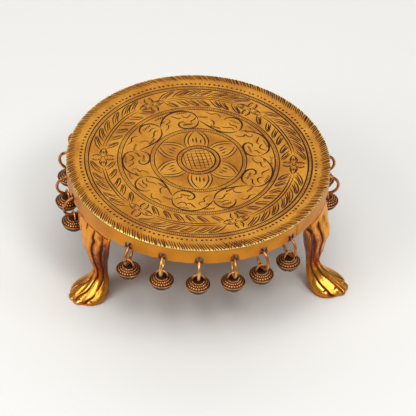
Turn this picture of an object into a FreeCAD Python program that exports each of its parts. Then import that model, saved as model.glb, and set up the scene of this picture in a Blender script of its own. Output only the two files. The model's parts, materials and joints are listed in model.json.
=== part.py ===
import FreeCAD, Part
import math
import os

# A round three-legged bajot, a low brass stand with bells hung from its rim.
# The origin is the centre of the top's upper face, +Z is up, lengths are in mm.
# The middle of the front bells is towards -Y, and angles turn from +X to +Y.

# Whole stand
table_diameter = 200.0
stand_height = 87.0
rim_height = 13.5

# Top disc with its engraved circles
disc_thickness = 1.8
disc_edge_chamfer = 0.3
circle_groove_width = 0.7
circle_groove_depth = 0.3
circle_radius_shares = (0.861, 0.831, 0.614, 0.583, 0.364, 0.334, 0.163, 0.130)

# Hoop band round the rim, with the mark of its butt joint
band_wall = 1.8
band_seam_turn_deg = -49.0
band_seam_width = 0.5
band_seam_depth = 0.4

# Holes that carry the rings, in three bays that part the rim evenly but for their strays
hole_diameter = 5.6
hole_lip_height = 0.7
hole_chamfer = 0.5
bells_in_bay = 6
bell_pitch_deg = 15.0
front_bay_turn_deg = -90.0
bay_strays_deg = {"front": 0.0, "right": -0.5, "left": 7.5}
hole_strays_deg = (
    0.5, 1.1, 1.9, 2.1, 0.4, 0.0,
    0.3, -0.6, 0.5, 1.0, -0.4, 0.2,
    -0.5, 0.6, 1.0, -0.7, 0.4, -1.0,
)

# Wire rings
ring_inner_diameter = 14.0
ring_wire = 2.3
ring_swing_deg = 45.0
ring_lip_play = 0.15
ring_split_deg = 3.0
ring_split_turn_deg = -38.0
ring_turns_deg = (
    11.0, 6.0, 0.0, -5.0, 2.0, -8.0,
    4.0, -6.0, 8.0, 0.0, -4.0, 6.0,
    -3.0, 7.0, 0.0, -7.0, 3.0, 5.0,
)

# Bells
bell_width = 18.4
bell_upper_height = 4.8
bell_lower_height = 7.7
bell_wall = 1.1
bell_flange_thickness = 1.0
bell_flange_reach = 0.35
bell_slit_width = 1.6
bell_slit_drop = 2.6
loop_inner_diameter = 7.2
loop_wire = 1.4
loop_stand = 0.5
loop_play = 0.3
pellet_diameter = 4.6
pellet_play = 0.2
bell_turns_deg = (
    -14.0, -6.0, 4.0, 12.0, -9.0, 6.0,
    10.0, -5.0, 0.0, 8.0, -12.0, 5.0,
    -7.0, 3.0, 11.0, -4.0, 9.0, -10.0,
)

# Legs, each an animal's leg and paw, as sections from the rim down to the floor.
# A reach under zero is a share of the heel's inset, one over zero of the toes' reach.
# A leg stands midway between two bays of bells, but for its stray.
# A foot's shift is how much further out it stands than the leg's root would put it.
leg_bays = {"left": ("left", "front"), "right": ("front", "right"), "back": ("right", "left")}
leg_strays_deg = {"left": -3.75, "right": 1.25, "back": 0.0}
foot_shifts = {"left": -2.5, "right": 9.0, "back": 3.0}
leg_root_width = 44.0
heel_inset = 14.0
toe_reach = 18.5
ankle_diameter = 10.0
front_round_share = 0.7
toe_count = 4
section_drop_shares = (
    0, 0.09, 0.2, 0.29, 0.39, 0.5, 0.59, 0.67,
    0.73, 0.785, 0.84, 0.895, 0.94, 0.975, 1,
)
front_reach_shares = (
    0, 0.07, 0.19, 0.21, 0.15, 0.03, -0.11, -0.26,
    -0.25, -0.11, 0.13, 0.46, 0.78, 0.98, 0.92,
)
edge_reach_shares = (
    -0.3, -0.29, -0.32, -0.4, -0.46, -0.48, -0.5, -0.61,
    -0.63, -0.6, -0.5, -0.29, 0, 0.08, 0.08,
)
back_reach_shares = (
    -0.68, -0.72, -0.81, -0.91, -0.96, -0.97, -0.98, -1.01,
    -1.03, -1.03, -1.03, -1, -0.94, -0.87, -0.79,
)
half_width_shares = (
    1, 0.945, 0.83, 0.71, 0.59, 0.48, 0.39, 0.32,
    0.3, 0.34, 0.42, 0.545, 0.635, 0.67, 0.63,
)
groove_depth_shares = (
    0, 0.03, 0.06, 0.08, 0.09, 0.09, 0.08, 0.06,
    0.07, 0.09, 0.11, 0.13, 0.14, 0.14, 0.1,
)
claw_diameter = 3.2
claw_drop_share = 0.93

# Lug, boss, screw and washer that hold each leg under the top
lug_width = 14.0
lug_thickness = 3.0
fixing_inset = 20.0
boss_diameter = 10.0
boss_hole_depth = 9.0
screw_diameter = 4.0
screw_length = 11.0
screw_head_diameter = 7.6
screw_head_height = 2.4
screw_slot_width = 1.0
screw_slot_depth = 1.1
washer_diameter = 9.0
washer_thickness = 0.8
thread_play = 0.05
fixing_play = 0.25

# How far a cutting solid runs past what it cuts
overrun = 2.0

# Places worked out from the sizes
table_radius = table_diameter / 2
band_middle_radius = table_radius - band_wall / 2
hole_radius = hole_diameter / 2
hole_bottom_z = -(rim_height - hole_lip_height)
hole_middle_z = hole_bottom_z + hole_radius
ring_wire_radius = ring_wire / 2
ring_inner_radius = ring_inner_diameter / 2
ring_middle_radius = ring_inner_radius + ring_wire_radius
lip_flat_half = band_wall / 2 - hole_chamfer
lip_side_reach = band_wall / 2 * math.sin(math.radians(ring_swing_deg))
lip_reach = max(math.hypot(lip_flat_half, hole_chamfer), lip_side_reach)
ring_pivot_z = hole_bottom_z - hole_chamfer
ring_middle_z = ring_pivot_z - (ring_inner_radius - ring_lip_play - lip_reach)
bell_pivot_z = ring_middle_z - ring_middle_radius
fixing_radius = table_radius - fixing_inset
screw_radius = screw_diameter / 2
lug_bottom_z = -rim_height - lug_thickness

# Directions
origin = FreeCAD.Vector(0, 0, 0)
along_x = FreeCAD.Vector(1, 0, 0)
along_y = FreeCAD.Vector(0, 1, 0)
along_z = FreeCAD.Vector(0, 0, 1)


def point(x, y, z):
    return FreeCAD.Vector(x, y, z)


def line(start, end):
    return Part.LineSegment(start, end).toShape()


def arc(start, middle, end):
    return Part.Arc(start, middle, end).toShape()


def outline(corners):
    """The straight edges that join corners in a closed ring."""
    return [line(a, b) for a, b in zip(corners, corners[1:] + corners[:1])]


def spun(edges, base, axis, turn_deg=360.0):
    """Turn the face inside a ring of edges about an axis."""
    return Part.Face(Part.Wire(edges)).revolve(base, axis, turn_deg)


def turned(shape, turn_deg):
    """A copy of a solid built towards +X, turned about the stand's own axis."""
    copy = shape.copy()
    copy.rotate(origin, along_z, turn_deg)
    return copy


def disc(radius, top_z, thickness, x=0.0):
    return Part.makeCylinder(radius, thickness, point(x, 0, top_z - thickness), along_z)


# Top disc

def circle_groove(radius):
    half = circle_groove_width / 2
    corners = [
        point(radius - half, 0, 0),
        point(radius, 0, -circle_groove_depth),
        point(radius + half, 0, 0),
        point(radius + half, 0, overrun),
        point(radius - half, 0, overrun),
    ]
    return spun(outline(corners), origin, along_z)


def make_top_disc():
    chamfer = disc_edge_chamfer
    corners = [
        point(0, 0, 0),
        point(table_radius - chamfer, 0, 0),
        point(table_radius, 0, -chamfer),
        point(table_radius, 0, -disc_thickness),
        point(0, 0, -disc_thickness),
    ]
    plate = spun(outline(corners), origin, along_z)
    return plate.cut([circle_groove(share * table_radius) for share in circle_radius_shares])


# Rim band and its holes

def bay_turn(name):
    bays = list(bay_strays_deg)
    return front_bay_turn_deg + bays.index(name) * 360.0 / len(bays) + bay_strays_deg[name]


def ring_turns():
    """The places of the rings round the rim, bay by bay."""
    first = -(bells_in_bay - 1) / 2
    steps = [first + step for step in range(bells_in_bay)]
    even = [bay_turn(bay) + step * bell_pitch_deg for bay in bay_strays_deg for step in steps]
    return [turn + stray for turn, stray in zip(even, hole_strays_deg)]


def hole_cutter():
    """A drill for one rim hole, with a countersink at both faces of the band."""
    outer = table_radius
    inner = table_radius - band_wall
    narrow = hole_radius
    wide = hole_radius + hole_chamfer + overrun

    def at(x, radius):
        return point(x, 0, hole_middle_z + radius)

    corners = [
        at(inner - overrun, 0),
        at(inner - overrun, wide),
        at(inner + hole_chamfer, narrow),
        at(outer - hole_chamfer, narrow),
        at(outer + overrun, wide),
        at(outer + overrun, 0),
    ]
    return spun(outline(corners), point(0, 0, hole_middle_z), along_x)


def make_rim_band():
    height = rim_height - disc_thickness
    hoop = disc(table_radius, -disc_thickness, height)
    hollow = disc(table_radius - band_wall, -disc_thickness + overrun, height + 2 * overrun)
    seam_corner = point(table_radius - band_seam_depth, -band_seam_width / 2, -rim_height - overrun)
    seam = Part.makeBox(band_seam_depth + overrun, band_seam_width, height + overrun, seam_corner)
    holes = [turned(hole_cutter(), turn) for turn in ring_turns()]
    return hoop.cut([hollow, turned(seam, band_seam_turn_deg)] + holes)


# Rings and bells

def make_ring():
    """One split wire ring in the plane of X and Z, hung over the lip of its hole."""
    middle = point(band_middle_radius, 0, ring_middle_z)
    start = middle + along_x * ring_middle_radius
    wire = Part.Wire(Part.makeCircle(ring_wire_radius, start, along_y.cross(along_x)))
    ring = Part.Face(wire).revolve(middle, -along_y, 360.0 - ring_split_deg)
    ring.rotate(middle, -along_y, ring_split_turn_deg + ring_split_deg / 2)
    return ring


def cap_arc(radius, apex_z, edge_z):
    """A round cap's profile, from its apex on the axis to its edge."""
    rise = apex_z - edge_z
    bend = (radius ** 2 + rise ** 2) / (2 * abs(rise))
    half = math.asin(radius / bend) / 2
    side = math.copysign(1.0, rise)
    middle = point(bend * math.sin(half), 0, apex_z - side * bend * (1 - math.cos(half)))
    return arc(point(0, 0, apex_z), middle, point(radius, 0, edge_z))


def make_bell():
    """One bell on the stand's own axis, with its swing axis along X through the origin."""
    loop_inner_radius = loop_inner_diameter / 2
    loop_radius = loop_inner_radius + loop_wire / 2
    loop_z = ring_wire_radius + loop_play - loop_inner_radius
    apex_z = loop_z - loop_stand
    widest_z = apex_z - bell_upper_height
    bottom_z = widest_z - bell_lower_height
    half_flange = bell_flange_thickness / 2
    flange_radius = bell_width / 2
    body_radius = flange_radius - bell_flange_reach
    inner_radius = body_radius - bell_wall

    upper_corner = point(body_radius, 0, widest_z + half_flange)
    upper_edge = point(flange_radius, 0, widest_z + half_flange)
    lower_edge = point(flange_radius, 0, widest_z - half_flange)
    lower_corner = point(body_radius, 0, widest_z - half_flange)
    outer_edges = [
        cap_arc(body_radius, apex_z, widest_z + half_flange),
        line(upper_corner, upper_edge),
        line(upper_edge, lower_edge),
        line(lower_edge, lower_corner),
        cap_arc(body_radius, bottom_z, widest_z - half_flange),
        line(point(0, 0, bottom_z), point(0, 0, apex_z)),
    ]
    inner_edges = [
        cap_arc(inner_radius, apex_z - bell_wall, widest_z),
        cap_arc(inner_radius, bottom_z + bell_wall, widest_z),
        line(point(0, 0, bottom_z + bell_wall), point(0, 0, apex_z - bell_wall)),
    ]
    outer = spun(outer_edges, origin, along_z)
    inner = spun(inner_edges, origin, along_z)

    slit_low = bottom_z - overrun
    slit_top = widest_z - bell_slit_drop
    slit = Part.makeBox(
        bell_width, bell_slit_width, slit_top - slit_low,
        point(-bell_width / 2, -bell_slit_width / 2, slit_low))
    slits = [turned(slit, 45.0), turned(slit, 135.0)]

    rise = bell_upper_height - half_flange
    bend = (body_radius ** 2 + rise ** 2) / (2 * rise)
    foot_drop = bend - math.sqrt(bend ** 2 - loop_radius ** 2) + bell_wall / 2 + loop_stand
    loop_circle = Part.makeCircle(loop_wire / 2, point(0, loop_radius, loop_z), along_z)
    loop = Part.Face(Part.Wire(loop_circle)).revolve(point(0, 0, loop_z), along_x, 180.0)
    feet = [
        Part.makeCylinder(loop_wire / 2, foot_drop, point(0, y, loop_z - foot_drop), along_z)
        for y in (-loop_radius, loop_radius)
    ]
    shell = outer.cut([inner] + slits).fuse([loop] + feet).removeSplitter()

    pellet_z = bottom_z + bell_wall + pellet_play + pellet_diameter / 2
    pellet = Part.makeSphere(pellet_diameter / 2, point(0, 0, pellet_z))
    return Part.makeCompound([shell, pellet])


def placed_ring(number, turn_deg):
    ring = make_ring()
    ring.rotate(point(band_middle_radius, 0, 0), along_z, ring_turns_deg[number])
    return turned(ring, turn_deg)


def placed_bell(number, turn_deg):
    bell = make_bell()
    bell.rotate(origin, along_z, ring_turns_deg[number] + bell_turns_deg[number])
    bell.translate(point(band_middle_radius, 0, bell_pivot_z))
    return turned(bell, turn_deg)


# Legs

def reach_radius(share):
    return table_radius + share * (toe_reach if share > 0 else heel_inset)


def front_point(row, drop_share, shift, side, sunk=0.0):
    """A point on the front of a leg, from side -1 to side 1, with the shape of one of its sections."""
    front = reach_radius(front_reach_shares[row])
    edge = reach_radius(edge_reach_shares[row])
    x = edge + (front - edge) * (1 - side ** 2) ** front_round_share - sunk
    y = side * half_width_shares[row] * leg_root_width / 2
    return point(x + shift * drop_share, y, -rim_height - drop_share * (stand_height - rim_height))


def leg_section(row, shift):
    """One level outline of a leg: a lobe for each toe in front, a plain curve behind."""
    drop_share = section_drop_shares[row]
    groove = groove_depth_shares[row] * ankle_diameter
    edge_point = front_point(row, drop_share, shift, 1)
    depth = reach_radius(edge_reach_shares[row]) - reach_radius(back_reach_shares[row])

    def back_point(side):
        return point(edge_point.x - depth * math.sqrt(1 - side ** 2), side * edge_point.y, edge_point.z)

    sides = [-1 + 2 * step / toe_count for step in range(toe_count + 1)]
    cusps = [front_point(row, drop_share, shift, side, groove if abs(side) < 1 else 0.0) for side in sides]
    middles = [front_point(row, drop_share, shift, (a + b) / 2) for a, b in zip(sides, sides[1:])]
    edges = [arc(a, m, b) for a, m, b in zip(cusps, middles, cusps[1:])]
    back_share = math.sqrt(0.5)
    edges.append(arc(cusps[-1], back_point(back_share), back_point(0)))
    edges.append(arc(back_point(0), back_point(-back_share), cusps[0]))
    return Part.Wire(edges)


def make_leg(shift):
    """One leg towards +X, with the lug that its screw passes through."""
    rows = range(len(section_drop_shares))
    body = Part.makeLoft([leg_section(row, shift) for row in rows], True, False)
    lug_root = table_radius - heel_inset / 2
    lug_corner = point(fixing_radius, -lug_width / 2, lug_bottom_z)
    lug = Part.makeBox(lug_root - fixing_radius, lug_width, lug_thickness, lug_corner)
    lug_end = disc(lug_width / 2, -rim_height, lug_thickness, fixing_radius)
    claw_row = section_drop_shares.index(max(s for s in section_drop_shares if s <= claw_drop_share))
    toe_sides = [(2 * toe + 1) / toe_count - 1 for toe in range(toe_count)]
    claws = [
        Part.makeSphere(claw_diameter / 2, front_point(claw_row, claw_drop_share, shift, side))
        for side in toe_sides
    ]
    screw_way = screw_radius + fixing_play
    hole = disc(screw_way, -rim_height + overrun, lug_thickness + 2 * overrun, fixing_radius)
    return body.fuse([lug, lug_end] + claws).cut(hole).removeSplitter()


# Fixings

def make_boss():
    height = rim_height - disc_thickness
    post = disc(boss_diameter / 2, -disc_thickness, height, fixing_radius)
    hole_top_z = -rim_height + boss_hole_depth
    hole = disc(screw_radius + thread_play, hole_top_z, boss_hole_depth, fixing_radius)
    return post.cut(hole)


def make_washer():
    ring = disc(washer_diameter / 2, lug_bottom_z, washer_thickness, fixing_radius)
    hole_height = washer_thickness + 2 * overrun
    hole = disc(screw_radius + fixing_play, lug_bottom_z + overrun, hole_height, fixing_radius)
    return ring.cut(hole)


def make_screw():
    """A slotted round-head screw from below, through the washer and lug into the boss."""
    seat_z = lug_bottom_z - washer_thickness
    base = FreeCAD.Vector(fixing_radius, 0, 0)
    edges = [
        cap_arc(screw_head_diameter / 2, seat_z - screw_head_height, seat_z),
        line(point(screw_head_diameter / 2, 0, seat_z), point(0, 0, seat_z)),
        line(point(0, 0, seat_z), point(0, 0, seat_z - screw_head_height)),
    ]
    head = spun(edges, origin, along_z)
    head.translate(base)
    shank = disc(screw_radius, seat_z + screw_length, screw_length, fixing_radius)
    slot = Part.makeBox(
        screw_head_diameter, screw_slot_width, screw_slot_depth,
        base + point(-screw_head_diameter / 2, -screw_slot_width / 2, seat_z - screw_head_height))
    return head.cut(slot).fuse(shank)


def leg_turn(name):
    """Where a leg stands: midway between its two bays, and off that by its stray."""
    before, after = [bay_turn(bay) for bay in leg_bays[name]]
    return before + (after - before) % 360.0 / 2 + leg_strays_deg[name]


def round_legs(shape):
    """One fixing at each leg, as one group of separate solids."""
    return Part.makeCompound([turned(shape, leg_turn(name)) for name in leg_bays])


def build():
    nodes = {"top_disc": make_top_disc(), "rim_band": make_rim_band()}
    for name, shift in foot_shifts.items():
        nodes["leg_" + name] = turned(make_leg(shift), leg_turn(name))
    nodes["leg_bosses"] = round_legs(make_boss())
    nodes["leg_washers"] = round_legs(make_washer())
    nodes["leg_screws"] = round_legs(make_screw())
    for number, turn in enumerate(ring_turns()):
        nodes["ring_%02d" % (number + 1)] = placed_ring(number, turn)
        nodes["bell_%02d" % (number + 1)] = placed_bell(number, turn)
    return nodes


os.makedirs("parts", exist_ok=True)
for node, shape in build().items():
    shape.exportStep("parts/%s.step" % node)
    state = "valid" if shape.isValid() else "NOT VALID"
    print(node, state, "solids %d volume %.1f" % (len(shape.Solids), shape.Volume))
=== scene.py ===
import json
import math

import bmesh
import bpy
import numpy as np
from mathutils import Matrix, Vector
from mathutils.bvhtree import BVHTree
from mathutils.geometry import delaunay_2d_cdt


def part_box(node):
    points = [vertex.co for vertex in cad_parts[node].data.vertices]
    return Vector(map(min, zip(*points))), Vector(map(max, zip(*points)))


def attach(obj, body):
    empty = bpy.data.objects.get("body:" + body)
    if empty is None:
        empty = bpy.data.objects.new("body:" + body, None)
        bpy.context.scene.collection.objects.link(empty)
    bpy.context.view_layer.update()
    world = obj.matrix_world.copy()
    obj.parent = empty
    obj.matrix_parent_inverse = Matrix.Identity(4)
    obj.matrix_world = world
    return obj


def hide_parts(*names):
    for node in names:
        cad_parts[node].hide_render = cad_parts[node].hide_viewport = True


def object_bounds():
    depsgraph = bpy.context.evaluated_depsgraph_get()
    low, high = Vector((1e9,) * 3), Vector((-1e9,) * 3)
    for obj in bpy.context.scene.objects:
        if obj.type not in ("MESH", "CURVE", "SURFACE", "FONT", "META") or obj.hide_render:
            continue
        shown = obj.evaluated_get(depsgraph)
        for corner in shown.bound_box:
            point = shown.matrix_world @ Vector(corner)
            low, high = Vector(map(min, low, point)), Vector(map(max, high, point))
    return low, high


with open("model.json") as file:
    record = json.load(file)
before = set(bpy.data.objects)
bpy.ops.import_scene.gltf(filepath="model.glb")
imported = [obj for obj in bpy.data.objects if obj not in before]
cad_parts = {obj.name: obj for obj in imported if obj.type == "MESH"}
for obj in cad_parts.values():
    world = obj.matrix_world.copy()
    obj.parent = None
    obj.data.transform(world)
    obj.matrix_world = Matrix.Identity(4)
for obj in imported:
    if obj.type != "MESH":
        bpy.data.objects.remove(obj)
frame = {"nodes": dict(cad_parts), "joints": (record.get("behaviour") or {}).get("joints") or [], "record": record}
cad_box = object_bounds()

mm = 0.001
full_turn = 2 * math.pi

# Sizes read from the frame
disc_low, disc_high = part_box("top_disc")
band_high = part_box("rim_band")[1]
table_radius = (disc_high.x - disc_low.x) / 2
disc_thickness = disc_high.z - disc_low.z
joints = {joint["name"]: joint for joint in frame["joints"]}
mounts = {mount["name"]: mount for mount in frame["record"]["mounts"]}
bell_count = len([name for name in frame["nodes"] if name.startswith("bell_")])

# Camera, from where the photograph was taken
camera_azimuth_deg = -8.0
camera_elevation_deg = 41.435
camera_roll_deg = 2.818
camera_distance = 2.4
focal_length_px = 3172.4
picture_width_px = 416
table_middle_px = (198.54, 159.81)

# Engraving of the top: radii are shares of the table's radius, widths are in metres
edge_chamfer = 0.35 * mm
graver_slope = 0.9
line_width = 1.14 * mm
right_side_weight = 0.14
double_rings = (
    (0.861, 0.831, 1.2 * mm), (0.614, 0.583, 0.9 * mm), (0.364, 0.334, 0.85 * mm), (0.163, 0.130, 1.25 * mm))
bead_pitch = 1.5 * mm
bead_tick_width = 0.58 * mm
bead_lean_deg = 0.3
hatch_width = 0.92 * mm
dot_ring_share = 0.892
dot_count = 156
dot_width = 2.0 * mm
dot_stray_share = 0.0025
dot_stray_deg = 0.25
fringe_count = 304
fringe_start_share = 0.93
fringe_lean_deg = 2.5
hard_stroke_width = 0.95 * mm
faint_stroke_width = 0.84 * mm
grid_tilts_deg = (2.0, 97.0)
grid_width = 0.74 * mm
petal_turns_deg = (88, 147, 203, 267, 323, 28)
petal_edge_shares = ((0.168, 0.080), (0.200, 0.091), (0.235, 0.094), (0.270, 0.085), (0.305, 0.064), (0.332, 0.040))
petal_fold_shares = ((0.170, 0.058), (0.203, 0.065), (0.238, 0.064), (0.272, 0.052), (0.303, 0.032), (0.328, 0.010))
lobe_turns_deg = (84, 163, 239, 318, 362)
whole_lobe_deg = 79
small_lobe_deg = 39
flower_turns_deg = (51, 114, 174, 227, 287, 352)
flower_middle_share = 0.722
stem_shares = (0.714, 0.735)
stem_start_deg = 8.8
leaf_pitch_deg = 7.8
outer_leaf_shares = (0.741, 0.818)
inner_leaf_shares = (0.709, 0.630)
rim_steps = 720
full_groove_depth = 0.26 * mm
# Width of the worn edge, whose pale gold is also a painted highlight
edge_wear_width = 0.6 * mm

# Wire rings
ring_split_turn_deg = -38.0
ring_split_deg = 3.0
brassy_rings = {2: (0.4, 0.8), 3: (0.5, 0.3), 4: (0.15, 0.65)}

# Bells, measured down from the point where they hang
bell_apex_drop = 2.65 * mm
bell_widest_drop = 7.45 * mm
bell_bottom_drop = 15.15 * mm
bell_body_radius = 8.85 * mm
bell_flange_radius = 9.2 * mm
bell_flange_half = 0.5 * mm
bell_wall = 1.1 * mm
bell_slit_half = 0.8 * mm
bell_slit_drop = 10.05 * mm
bead_count = 24
bead_row_radii = (4.6 * mm, 6.2 * mm, 7.8 * mm)
bead_row_pitch = 1.65 * mm
bead_height = 0.5 * mm
loop_middle_drop = 2.15 * mm
loop_radius = 4.3 * mm
loop_wire_radius = 0.7 * mm
loop_foot_drop = 4.1 * mm
pellet_drop = 11.55 * mm
pellet_radius = 2.3 * mm

# Legs: a cut is a sharp core in a soft hollow, whose reach and depth are shares of its width
leg_grid = 0.4 * mm
leg_smoothing_rounds = 40
cut_step = 0.35 * mm
core_reach = 0.58
core_depth = 0.55
hollow_reach = 2.3
hollow_depth = 0.16
cast_wave_length = 4.5 * mm
cast_wave_height = 0.10 * mm
# Rounds and depth of the curvature marks, which paint shade into the legs' hollows and highlights on their ridges
relief_rounds = 60
full_relief = 0.45 * mm
back_leg_lean = 5.5 * mm

# Cuts in the legs, each with its darkness and a line of points given outward, sideways and up, with a width, in mm
left_leg_cuts = {
    "middle": (1.0, (
        (99.9, 6.3, -17.4, 0.8), (101.6, 6.5, -23.0, 1.6), (101.5, 8.0, -26.1, 2.0), (102.0, 6.9, -30.2, 1.5),
        (101.9, 6.2, -35.1, 1.5), (100.8, 5.9, -40.2, 1.3), (98.7, 4.6, -48.3, 1.1), (96.1, 3.9, -56.3, 1.1),
        (93.7, 2.8, -64.5, 1.2), (93.9, 3.3, -69.2, 1.2), (96.0, 3.5, -72.2, 1.2), (99.0, 3.6, -75.0, 1.2),
        (102.0, 4.1, -77.3, 1.2), (105.1, 4.1, -79.1, 1.2), (107.7, 2.9, -80.5, 1.3), (110.0, 1.9, -81.8, 1.6),
        (113.0, 1.9, -83.5, 2.2))),
    "flank": (1.0, (
        (98.5, 15.0, -18.1, 0.7), (99.1, 15.5, -22.6, 0.9), (99.0, 15.0, -27.5, 1.8), (98.4, 14.2, -30.7, 2.3),
        (97.6, 12.1, -37.9, 2.4), (95.9, 10.2, -45.4, 2.2), (94.5, 8.8, -52.4, 2.0), (91.5, 7.3, -60.3, 1.8),
        (90.4, 6.4, -66.9, 1.6), (91.2, 7.2, -71.0, 1.4), (93.7, 8.0, -74.3, 1.2), (96.4, 8.7, -76.7, 0.9),
        (98.6, 9.1, -78.2, 0.6), (101.1, 10.1, -80.0, 0.7), (103.9, 10.2, -81.5, 1.1), (107.4, 9.3, -83.0, 1.6),
        (109.6, 9.4, -84.7, 2.2))),
    "outer_toe": (1.0, (
        (94.3, -0.7, -66.9, 0.8), (97.7, -1.1, -73.2, 1.0), (100.6, -1.9, -75.8, 1.1), (103.0, -3.9, -77.8, 1.2),
        (104.9, -6.6, -80.8, 1.3), (107.9, -7.8, -82.7, 1.4), (110.7, -7.6, -84.6, 1.8))),
    "brow": (0.8, ((99.9, -2.9, -16.8, 1.0), (100.4, -2.3, -18.6, 1.0), (101.2, -2.2, -21.0, 0.5))),
    "hidden_flank": (1.0, (
        (98.5, -15.0, -18.1, 0.8), (99.0, -15.0, -27.5, 1.6), (97.6, -12.1, -37.9, 2.3), (94.5, -8.8, -52.4, 1.8),
        (91.5, -6.0, -60.3, 1.4), (92.5, -3.2, -66.0, 0.8))),
    "notch": (1.2, ((99.4, 13.4, -28.0, 1.0), (98.6, 15.9, -26.3, 1.6), (97.4, 17.6, -25.6, 1.0))),
    "toe_tick_a": (1.0, ((111.5, -4.9, -82.9, 0.7), (111.4, -3.3, -82.6, 1.0), (111.4, -1.4, -82.6, 0.7))),
    "toe_tick_b": (1.0, ((111.7, 3.1, -82.7, 0.7), (111.4, 4.2, -82.7, 1.0), (111.0, 5.8, -83.0, 0.7))),
    "toe_tick_c": (1.0, ((106.1, 11.0, -83.0, 0.7), (105.7, 11.8, -83.4, 1.0), (105.6, 12.5, -84.0, 0.7))),
    "flange": (1.0, (
        (99.5, -14.0, -16.2, 0.6), (99.8, -0.2, -16.1, 0.7), (99.5, 7.2, -16.0, 0.7), (97.8, 16.7, -17.2, 0.8),
        (96.5, 19.5, -17.4, 0.6))),
}
right_leg_cuts = {
    "middle": (0.85, (
        (101.3, -6.4, -19.3, 1.2), (102.1, -7.8, -21.4, 1.8), (103.2, -7.8, -24.3, 1.8), (104.4, -7.0, -28.7, 1.5),
        (105.2, -6.2, -33.8, 1.1), (105.4, -5.8, -38.7, 1.0), (104.4, -5.4, -44.1, 1.0), (103.7, -5.0, -48.4, 1.0),
        (103.3, -3.2, -55.5, 1.0), (102.3, 0.7, -65.4, 1.0), (104.6, 1.1, -70.4, 1.1), (107.4, 2.2, -73.5, 1.1),
        (110.7, 3.8, -76.5, 1.1), (114.2, 4.9, -78.9, 1.2), (117.8, 7.7, -82.3, 1.4), (120.5, 8.9, -84.3, 1.8))),
    "pit": (1.1, (
        (96.7, -19.8, -16.8, 1.4), (98.3, -17.9, -18.9, 2.4), (99.8, -16.6, -21.5, 2.3), (100.1, -16.7, -25.0, 1.2))),
    "flank": (0.6, (
        (100.1, -16.7, -24.1, 1.6), (100.2, -14.6, -32.3, 1.3), (100.1, -12.6, -39.7, 1.2), (99.5, -10.7, -47.2, 1.2),
        (98.7, -9.2, -54.4, 1.3))),
    "inner_toe": (1.0, (
        (98.9, -9.7, -52.0, 0.9), (98.0, -7.0, -62.3, 1.2), (98.9, -6.5, -68.1, 1.2), (102.6, -7.5, -73.3, 1.2),
        (105.4, -8.5, -76.1, 1.2), (108.1, -9.4, -78.1, 1.2), (111.1, -10.0, -79.8, 1.3), (114.4, -10.6, -81.7, 1.5),
        (117.2, -11.6, -83.5, 1.8), (119.0, -11.4, -84.9, 2.1))),
    "trough": (0.4, (
        (101.0, -15.3, -24.9, 2.0), (101.6, -13.0, -33.1, 2.7), (101.8, -10.9, -40.4, 2.7), (101.2, -9.3, -47.7, 2.3),
        (100.5, -8.3, -54.5, 1.8), (99.6, -6.1, -62.4, 1.0))),
    "between_middle_toes": (1.0, (
        (101.0, -5.6, -56.0, 0.7), (101.3, -4.6, -63.0, 0.9), (102.8, -3.0, -68.6, 1.1), (104.9, -3.1, -71.5, 1.2),
        (108.1, -3.2, -74.4, 1.2), (113.9, -2.3, -78.1, 1.2), (117.8, -2.3, -80.3, 1.3), (122.1, -3.3, -82.5, 1.6),
        (124.6, -3.9, -83.9, 1.9))),
    "hidden_flank": (1.0, (
        (98.3, 17.9, -18.9, 1.6), (100.1, 16.7, -24.1, 2.0), (100.2, 14.6, -32.3, 2.3), (100.1, 12.6, -39.7, 2.3),
        (98.7, 9.2, -54.4, 1.6), (98.0, 6.0, -62.3, 1.1))),
    "toe_tick_a": (1.0, ((120.5, 2.6, -81.7, 0.7), (120.5, 4.7, -82.0, 1.1), (120.9, 8.3, -84.1, 0.7))),
    "toe_tick_b": (1.0, ((118.4, -6.4, -81.8, 0.8), (118.9, -4.8, -81.2, 1.2), (120.0, -2.9, -81.5, 0.8))),
    "toe_tick_c": (1.0, ((111.9, -12.8, -82.0, 0.8), (112.8, -11.4, -81.4, 1.1), (114.5, -9.9, -81.4, 0.8))),
    "flange": (1.0, (
        (98.0, 15.0, -16.4, 0.6), (99.6, 8.0, -15.8, 0.7), (100.1, -2.3, -15.7, 0.7), (99.6, -8.3, -15.6, 0.8),
        (98.9, -13.3, -15.8, 0.8))),
}

# Swellings of the legs: a place as above, a radius and a height, in mm
left_leg_swellings = (
    (113.6, -3.4, -83.4, 3.6, -0.6), (112.6, 5.6, -83.8, 3.2, 0.3), (106.8, 12.0, -84.2, 3.0, 0.3),
    (96.3, 16.5, -30.0, 3.0, 0.4), (94.3, 11.2, -45.4, 2.4, 0.4), (102.4, 0.6, -36.0, 7.0, 0.3),
)
right_leg_swellings = (
    (97.9, -17.4, -15.6, 3.2, 2.4), (120.6, 4.9, -82.2, 3.2, 0.3), (119.9, -5.6, -82.4, 3.4, 0.4),
    (113.6, -12.6, -82.6, 3.2, 0.3), (104.6, 2.0, -27.0, 8.5, 0.9), (105.6, 1.4, -34.0, 9.0, 1.6),
    (103.0, -9.2, -28.0, 3.2, 0.5),
)
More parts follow.
